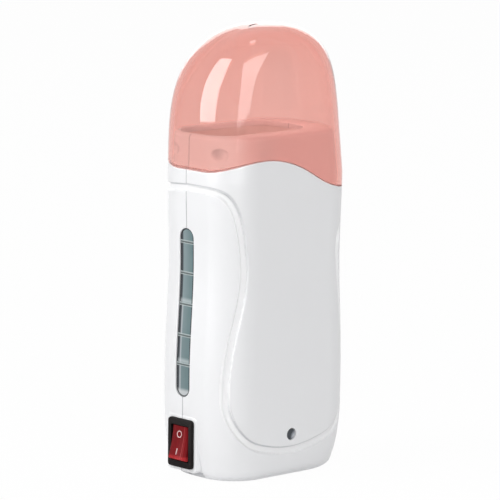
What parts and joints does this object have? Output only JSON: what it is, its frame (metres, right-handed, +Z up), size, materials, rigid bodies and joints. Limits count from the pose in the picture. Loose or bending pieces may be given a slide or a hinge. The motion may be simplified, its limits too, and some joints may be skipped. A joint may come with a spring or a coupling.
{
  "type": "roll-on wax heater",
  "caption": "Hand-held roll-on wax heater: white rounded case, see-through rose lift-off cap over the cartridge well, smoke level window, red rocker switch and indicator lamp.",
  "frame": {"origin": "centre of the flat base that the heater stands on", "axes": "+Z up from the base towards the cap, +X across the front away from the switch side, -Y out of the front panel that carries the lamp"},
  "size_m": [0.0787, 0.0516, 0.192],
  "materials": {
    "case_plastic": "moulded, white, fine satin gloss",
    "cap_tint": "moulded, see-through rose tint",
    "window_smoke": "moulded, see-through smoke grey",
    "well_metal": "drawn and anodised",
    "heater_ceramic": "yellow insulating film over a ceramic block",
    "mica": "pressed mica sheet",
    "strap_steel": "bent strip",
    "screw_steel": "zinc plated",
    "fuse_body": "turned can with epoxy ends",
    "switch_black": "moulded black",
    "rocker_red": "moulded red",
    "spring_steel": "drawn wire",
    "contact_brass": "stamped",
    "lens_smoke": "moulded smoke grey",
    "lamp_red": "cast epoxy",
    "board_green": "laminate with solder mask",
    "resistor_tan": "lacquered",
    "inlet_black": "moulded black",
    "wire_red": "sleeved",
    "wire_blue": "sleeved",
    "wire_white": "sleeved"
  },
  "bodies": {
    "case": {"front_shell": "case_plastic", "rear_shell": "case_plastic", "level_window": "window_smoke", "wax_chamber": "well_metal", "ptc_heater": "heater_ceramic", "mica_sheet": "mica", "heater_clamp": "strap_steel", "clamp_screws": "screw_steel", "thermal_fuse": "fuse_body", "fuse_clip": "strap_steel", "switch_housing": "switch_black", "switch_terminals": "contact_brass", "indicator_lens": "lens_smoke", "indicator_lamp": "lamp_red", "indicator_board": "board_green", "board_resistor": "resistor_tan", "power_inlet": "inlet_black", "inlet_pins": "contact_brass", "case_screws": "screw_steel", "live_wire": "wire_red", "neutral_wire": "wire_blue", "switched_wire": "wire_red", "heater_wire": "wire_white", "lamp_wires": "wire_white"},
    "cap": {"cap": "cap_tint"},
    "rocker": {"switch_rocker": "rocker_red", "switch_spring": "spring_steel", "switch_plunger": "contact_brass"},
    "contact_arm": {"switch_contact_arm": "contact_brass"}
  },
  "joints": [
    {"name": "cap_lift", "type": "slide", "parent": "case", "child": "cap", "axis": [0, 0, 1], "range_m": [0, 0.06]},
    {"name": "rocker_tilt", "type": "hinge", "parent": "case", "child": "rocker", "pos_m": [-0.0373, 0.0026, 0.0152], "axis": [0, -1, 0], "range_deg": [0, 24]},
    {"name": "arm_tilt", "type": "hinge", "parent": "case", "child": "contact_arm", "pos_m": [-0.0281, 0.0026, 0.0152], "axis": [0, -1, 0], "range_deg": [-12, 0]}
  ],
  "couplings": [
    {"joint": "arm_tilt", "follows": "rocker_tilt", "ratio": -0.5}
  ]
}
